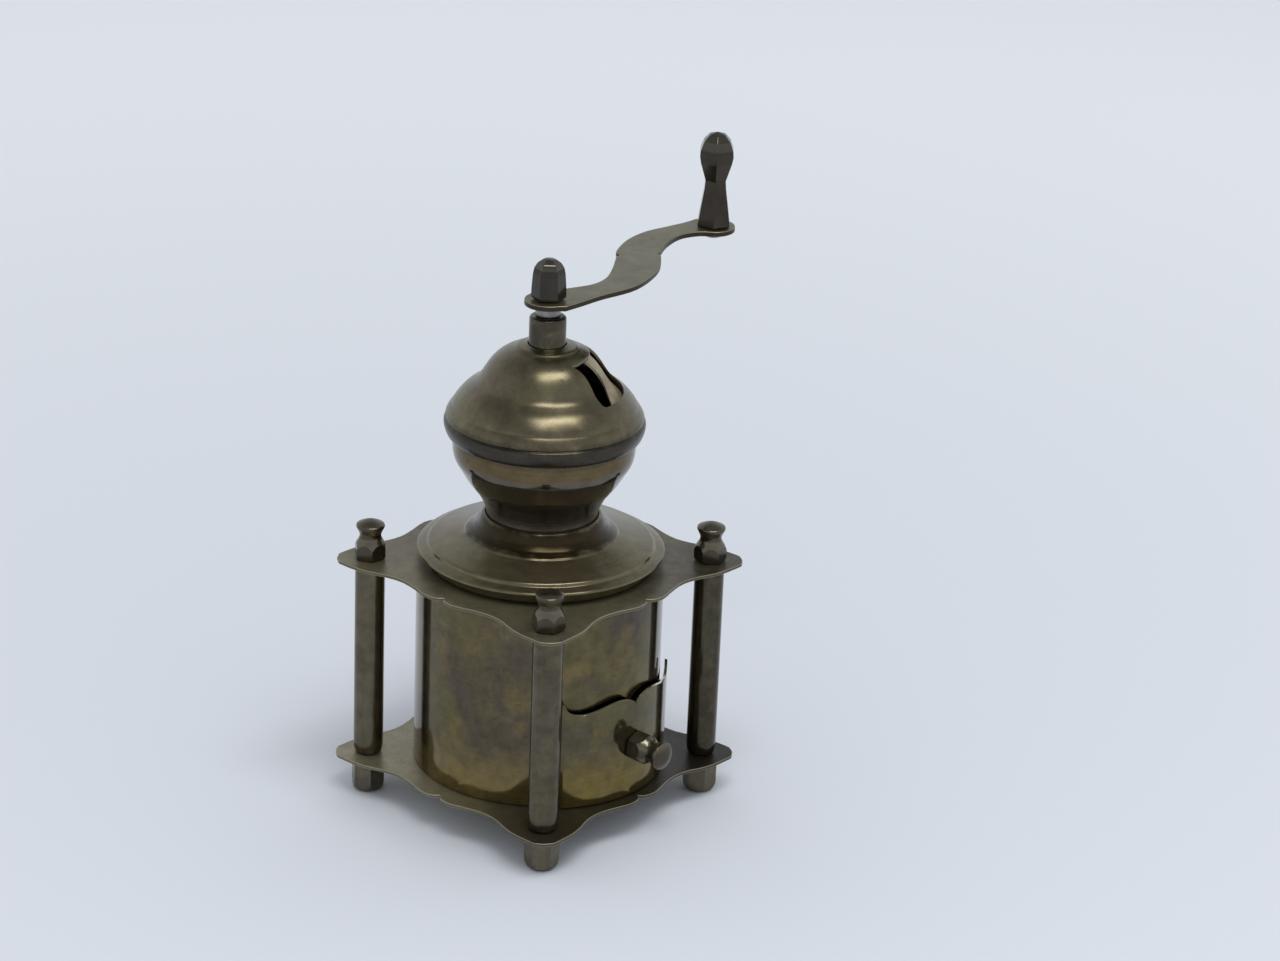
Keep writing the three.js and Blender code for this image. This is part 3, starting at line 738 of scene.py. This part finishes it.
# Spun sheet: cover, bowl, lid with its window, and the door that slides inside the lid. The window and the
# door's outline are seen from above, and their cuts run between two heights.
sheets = {
    "cover": [
        (36, 81.3), (36, 84.8), (39.1, 84.8), (39.4, 85.3), (39.1, 85.9), (37, 86.6), (36.3, 86.7),
        (35.9, 87.6), (35.3, 88), (24.5, 90.5), (24.1, 91.1), (23.2, 91.5), (21.8, 92.4), (20.4, 94),
        (19.5, 96.2), (18.8, 97.2), (17.95, 97.4), (17.95, 96.8), (19, 93.8), (20.8, 91.6), (24.2, 89.6),
        (34.8, 87), (35, 86.6), (35, 81.3),
    ],
    "bowl": [
        (17.6, 80.4), (17.6, 97.6), (18.3, 100.2), (20.3, 104.3), (23.8, 108.5), (27.2, 114.2),
        (28.2, 115.9), (28.8, 118.5), (28.9, 122), (28.9, 128.2), (28.1, 128.2), (28, 118.8), (26.4, 114.4),
        (23.1, 109.1), (19.6, 104.9), (17.4, 100.2), (16.8, 97.6), (16.8, 80.4),
    ],
    "lid": [
        (5.95, 153.95), (7.2, 153.5), (9.4, 153.1), (10.1, 152.4), (12.6, 151.5), (15, 150.1), (17, 148.2),
        (18.6, 146), (20, 143.6), (21.5, 141.3), (23.2, 140), (25.2, 138.6), (26.6, 137.25), (28.1, 135.4),
        (29, 134), (29.15, 133.5), (29.85, 132.7), (30.7, 131.4), (31.15, 130.4), (31.1, 129.7),
        (30.75, 129.3), (31.4, 129), (31.75, 128.2), (31.6, 126.6), (30.8, 124.4), (29.9, 123.6),
        (29.3, 124.1), (30.4, 126.6), (30.2, 129.6), (29.3, 132.5), (27.6, 134.8), (23.1, 138.6),
        (21, 140.8), (19.4, 143.3), (18, 145.6), (16.5, 147.7), (14.6, 149.5), (12.3, 150.9), (9.9, 151.9),
        (5.95, 152.4),
    ],
    "window": [
        (-0.2, -24.3), (-0.7, -20.2), (-1.1, -18.4), (-2, -16.3), (-4, -13.4), (-1.2, -13.9), (2.4, -13.2),
        (6, -12), (9, -9.9), (11.6, -6.8), (12.2, -4.3), (14.6, -5.6), (16.8, -6.8), (18.6, -8.8),
        (19.4, -11.4), (18.9, -14.2), (17.3, -16.8), (15.8, -18.4), (13.6, -20.4), (10.8, -22.1),
        (7.7, -23.4), (4.3, -24.3), (1.2, -24.7),
    ],
    "windowCut": (133, 156),
    "door": [
        (9.4, 150.6), (12, 150), (14, 148.7), (15.7, 147.1), (17.3, 144.9), (18.7, 142.7), (20.5, 140),
        (22.6, 137.9), (26, 135.2), (25.6, 134.6), (22.2, 137.3), (19.9, 139.6), (18.1, 142.3),
        (16.8, 144.4), (15.2, 146.6), (13.6, 148.1), (11.8, 149.3), (9.3, 149.9),
    ],
    "doorRing": [(6.2, 149.9), (9.6, 149.9), (9.6, 150.6), (6.2, 150.6)],
    "doorOutline": [
        (4.6, -27), (5.2, -24.5), (6.1, -22), (7.4, -19.4), (8.2, -17), (7.7, -15.2), (6, -13.4),
        (4.2, -11.6), (1, -6), (5, 2.2), (28, 12.5), (36, 0), (26, -24),
    ],
    "doorCut": (130, 155),
    "collar": [
        (3.3, 148.3), (9, 148.3), (9, 149.5), (5.8, 149.6), (5.8, 162.2), (5.3, 162.8), (3.3, 162.8),
    ],
    "spacer": [(3.2, 163.1), (4, 163.1), (4, 166.1), (3.2, 166.1)],
}
cover = spun(softened(sheets["cover"], reach=0.3), steps=144)
addPiece("coverDisc", cover, "stand", "cover_brass", "cover")
bowl = spun(softened(sheets["bowl"], reach=1.2, passes=3), steps=144)
addPiece("bowlShell", bowl, "stand", "bowl_brass", "hopper_bowl")
window = slab(softened(sheets["window"], reach=0.5), *sheets["windowCut"])
lid = combined(spun(softened(sheets["lid"], reach=0.9), steps=144), window, "DIFFERENCE")
addPiece("lidDome", eased(lid, width=0.1, degrees=40, segments=1), "stand", "lid_brass", "dome_lid")
doorShape = slab(softened(sheets["doorOutline"], reach=0.8), *sheets["doorCut"])
door = combined(spun(softened(sheets["door"], reach=0.5), steps=144), doorShape, "INTERSECT")
door = combined(door, spun(sheets["doorRing"], steps=96), "UNION")
addPiece("lidDoor", door, "door", "door_brass", "dome_door")
collar = spun(softened(sheets["collar"], reach=0.25), steps=96)
addPiece("lidCollar", collar, "stand", "collar_brass", "dome_collar")
spacer = spun(softened(sheets["spacer"], reach=0.2), steps=64)
addPiece("shaftSpacer", spacer, "crank", "plain_steel", "spacer")
print("spun sheet made")

# Crank: arm cut from sheet, acorn nut, and the six-sided handle knob. Along and across are seen from above,
# from the shaft, before the arm is turned to its angle.
crank = {
    "angle": 5.6,
    "under": 166.4,
    "thick": 1.8,
    "rim": 0.32,
    "hubRadius": 7.5,
    "endRadius": 7.9,
    "endAcross": 4.3,
    "knobAlong": 95.5,
    "knobAcross": 3.4,
    "screwHole": 2.3,
    "drill": (160, 172),  # the heights it reaches
    "seat": 0.3,  # gap between the arm and what stands on it
    "back": [(13, 1.4), (20.5, -1.7), (28, -1.4), (36, 2), (45.5, 7.3), (48.5, 9.2)],
    "backNotch": (49.6, 8.3),
    "backTip": [(50.4, 9.4), (52.5, 12), (64, 16), (75, 16.7), (84, 14.6), (91, 12.8)],
    "front": [(89.6, -0.7), (86.9, 3.2), (80, 5.8), (70, 4.2), (60.6, 0.4)],
    "frontNotch": (60, 1.2),
    "frontRoot": [(59.4, 0.2), (57.9, -1.9), (46, -9), (29, -12.9), (14, -10.3), (5, -9.3), (-2, -8.3)],
    "acorn": [
        (0, 0), (5.2, 0), (5.55, 0.7), (5.4, 4), (5.1, 8), (4.7, 9.9), (3.7, 11.5), (2.1, 12.6), (0, 12.9),
    ],
    "acornTurn": 12,
    "acornEdge": 0.22,
    "knob": [
        (0, 0), (5.9, 0), (6.1, 0.5), (5.4, 5), (4.7, 9), (4.1, 12.6), (3.85, 15.6), (5.85, 21.6),
        (6.35, 24), (6.15, 26), (5, 28.8), (2.9, 31), (0, 31.8),
    ],
    "knobTurn": 40,
    "knobEdge": 0.14,
}
k = crank
armOutline = throughPoints(k["back"], 5) + [k["backNotch"]] + throughPoints(k["backTip"], 5)
armOutline += arcPoints((k["knobAlong"], k["endAcross"]), k["endRadius"], 95, -130, 28)
armOutline += throughPoints(k["front"], 5) + [k["frontNotch"]] + throughPoints(k["frontRoot"], 5)
armOutline += arcPoints((0, 0), k["hubRadius"], -115, -320, 30)
knobSpot = turnedBy([(k["knobAlong"], k["knobAcross"])], k["angle"])[0]
arm = slab(turnedBy(armOutline, k["angle"]), k["under"], k["under"] + k["thick"], k["rim"])
arm = drilled(arm, *knobSpot, k["screwHole"], *k["drill"])
addPiece("crankArm", arm, "crank", "arm_brass", "crank_arm", smoothBelow=50, weighted=True)
armTop = k["under"] + k["thick"] + k["seat"]
acorn = spun(softProfile(k["acorn"], reach=0.25), 6, k["acornTurn"])
acorn = moved(eased(acorn, k["acornEdge"], degrees=20), 0, 0, armTop)
addPiece("acornNut", acorn, "crank", "nut_brass", "acorn_nut", weighted=True)
grip = spun(softProfile(k["knob"], reach=0.2), 6, k["knobTurn"])
grip = moved(eased(grip, k["knobEdge"], degrees=14), *knobSpot, armTop)
addPiece("handleKnob", grip, "knob", "knob_brass", "handle_knob", smoothBelow=22, weighted=True)
print("crank made")

# CAD nodes that stay as they are take their slot's metal.
slotOf = {part["node"]: part["material_slot"] for part in frame["record"]["subparts"]}
for name, node in cadNodes.items():
    node.data.materials.clear()
    node.data.materials.append(materials[slotOf[name]])

# Stage, light and camera, in metres. The floor's colour changes over a range of distances to a brighter far
# floor, painted light, and the surroundings grow darker overhead.
studio = {
    "floor": (0.69, 0.73, 0.795),
    "paintedBrightFarFloor": (0.91, 0.955, 1.0),
    "floorPaintedLightFade": (0.1, 1.0),
    "floorSize": 4,
    "floorDrop": 0.0002,
    "around": (0.74, 0.78, 0.85),
    "overhead": 0.4,
    "overheadFade": (0.35, 0.9),
    "fill": 0.69,
    "fillColour": (0.97, 0.98, 1.0),
    "keyPower": 8.0,
    "keySize": (0.95, 0.4),
    "keySpot": (-0.225, -0.485, 1.38),
    "keyAim": (0, 0, 0.1),
}
floorMesh = bmesh.new()
bmesh.ops.create_grid(floorMesh, x_segments=2, y_segments=2, size=studio["floorSize"])
floor = asObject(moved(floorMesh, 0, 0, -studio["floorDrop"]), "floor")
paint = Shader(bpy.data.materials.new("floorPaint"))
away = paint.vectorMaths("LENGTH", paint.node("ShaderNodeTexCoord", out="Object"), out=1)
floorColour = paint.mixed(paint.between(away, *studio["floorPaintedLightFade"]), studio["floor"], studio["paintedBrightFarFloor"])
floor.data.materials.append(paint.finish(floorColour, metallic=0.0, roughness=0.85))

world = bpy.data.worlds.new("studio")
bpy.context.scene.world = world
sky = Shader(world)
sky.tree.nodes.remove(sky.tree.nodes["Background"])
overhead = sky.between(sky.heightOf(sky.node("ShaderNodeTexCoord", out="Generated")), *studio["overheadFade"])
strength = 1 - overhead * (1 - studio["overhead"])
seen = sky.node("ShaderNodeBackground", None, {"Color": studio["around"], "Strength": strength})
lighting = sky.node("ShaderNodeBackground", None, {"Color": studio["fillColour"], "Strength": studio["fill"]})
shown = 0.0
for ray in ("Is Camera Ray", "Is Glossy Ray", "Is Transmission Ray"):  # these see the surroundings
    isRay = sky.node("ShaderNodeLightPath", out=ray)
    shown = sky.node("ShaderNodeMath", {"operation": "MAXIMUM"}, {0: shown, 1: isRay})
backdrop = sky.node("ShaderNodeMixShader", None, {0: shown, 1: lighting, 2: seen})
sky.feed(sky.tree.nodes["World Output"].inputs["Surface"], backdrop)

lampData = bpy.data.lights.new("key", "AREA")
lampData.shape = "RECTANGLE"
lampData.size, lampData.size_y = studio["keySize"]
lampData.energy = studio["keyPower"]
lamp = bpy.data.objects.new("key", lampData)
lamp.location = studio["keySpot"]
fromAim = Vector(studio["keySpot"]) - Vector(studio["keyAim"])
lamp.rotation_euler = fromAim.to_track_quat("Z", "Y").to_euler()
bpy.context.scene.collection.objects.link(lamp)

view = {
    "lens": 100,
    "sensor": 36,
    "nearest": 0.01,
    "spot": (-0.80249, -0.68736, 0.52771),
    "right": (0.65480, -0.75483, 0.03823),
    "up": (0.25947, 0.27202, 0.92665),
}
cameraData = bpy.data.cameras.new("camera")
cameraData.lens = view["lens"]
cameraData.sensor_width = view["sensor"]
cameraData.clip_start = view["nearest"]
camera = bpy.data.objects.new("camera", cameraData)
right = Vector(view["right"]).normalized()
back = right.cross(Vector(view["up"])).normalized()
turn = Matrix((right, back.cross(right), back)).transposed().to_4x4()
camera.matrix_world = Matrix.Translation(view["spot"]) @ turn
bpy.context.scene.collection.objects.link(camera)
bpy.context.scene.camera = camera
bpy.context.scene.view_settings.view_transform = "Standard"
print("stage and camera set")
